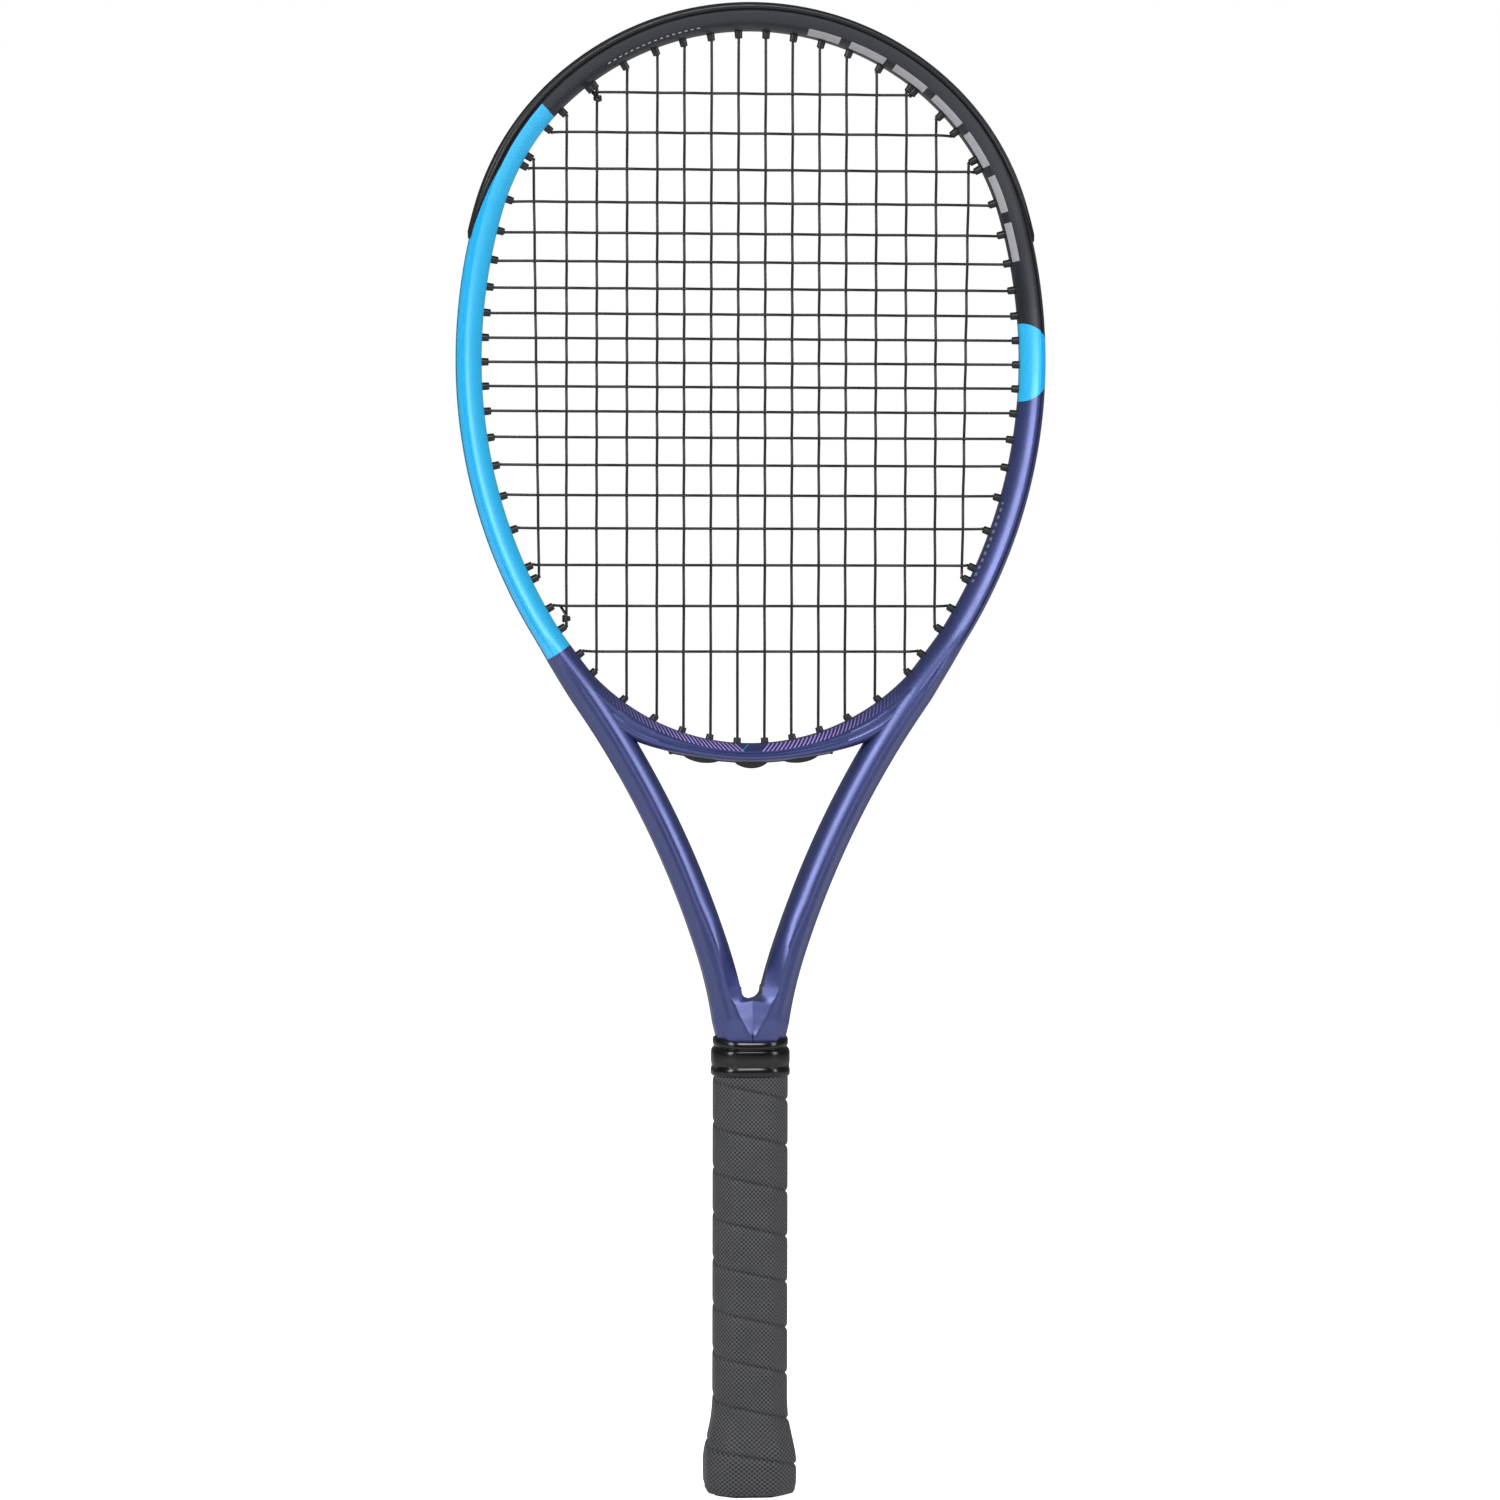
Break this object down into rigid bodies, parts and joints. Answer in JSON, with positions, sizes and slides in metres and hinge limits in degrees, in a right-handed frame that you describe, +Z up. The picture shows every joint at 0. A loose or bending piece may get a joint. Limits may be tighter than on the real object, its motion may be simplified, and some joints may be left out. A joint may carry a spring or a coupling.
{
  "type": "tennis racket",
  "caption": "Strung tennis racket with an oval head, an open V throat and a wrapped octagonal handle.",
  "frame": {"origin": "middle of the butt's end face", "axes": "+Z up the racket from the butt to the tip of the head, +X across the head to the right seen from the front, -Y out of the front face"},
  "size_m": [0.2714, 0.0384, 0.6851],
  "materials": {
    "frame_paint": "satin metallic lacquer over carbon fibre",
    "grommet_nylon": "moulded nylon",
    "string": "smooth monofilament",
    "foam": "rigid polyurethane foam",
    "cap_plastic": "moulded plastic",
    "staple_steel": "bright wire",
    "grip": "perforated synthetic leather",
    "tape": "adhesive tape",
    "collar_rubber": "smooth rubber"
  },
  "bodies": {
    "root": {"frame_hairpin": "frame_paint", "throat_bridge": "frame_paint", "head_bumper_guard": "grommet_nylon", "left_grommet_strip": "grommet_nylon", "right_grommet_strip": "grommet_nylon", "throat_grommet_strip": "grommet_nylon", "main_strings": "string", "cross_strings": "string", "main_string_turns": "string", "cross_string_turns": "string", "upper_string_knot": "string", "lower_string_knot": "string", "handle_pallet": "foam", "butt_cap": "cap_plastic", "butt_cap_staples": "staple_steel", "grip_tack": "staple_steel", "grip_tape": "grip", "finishing_tape": "tape", "grip_collar": "collar_rubber"}
  },
  "joints": []
}
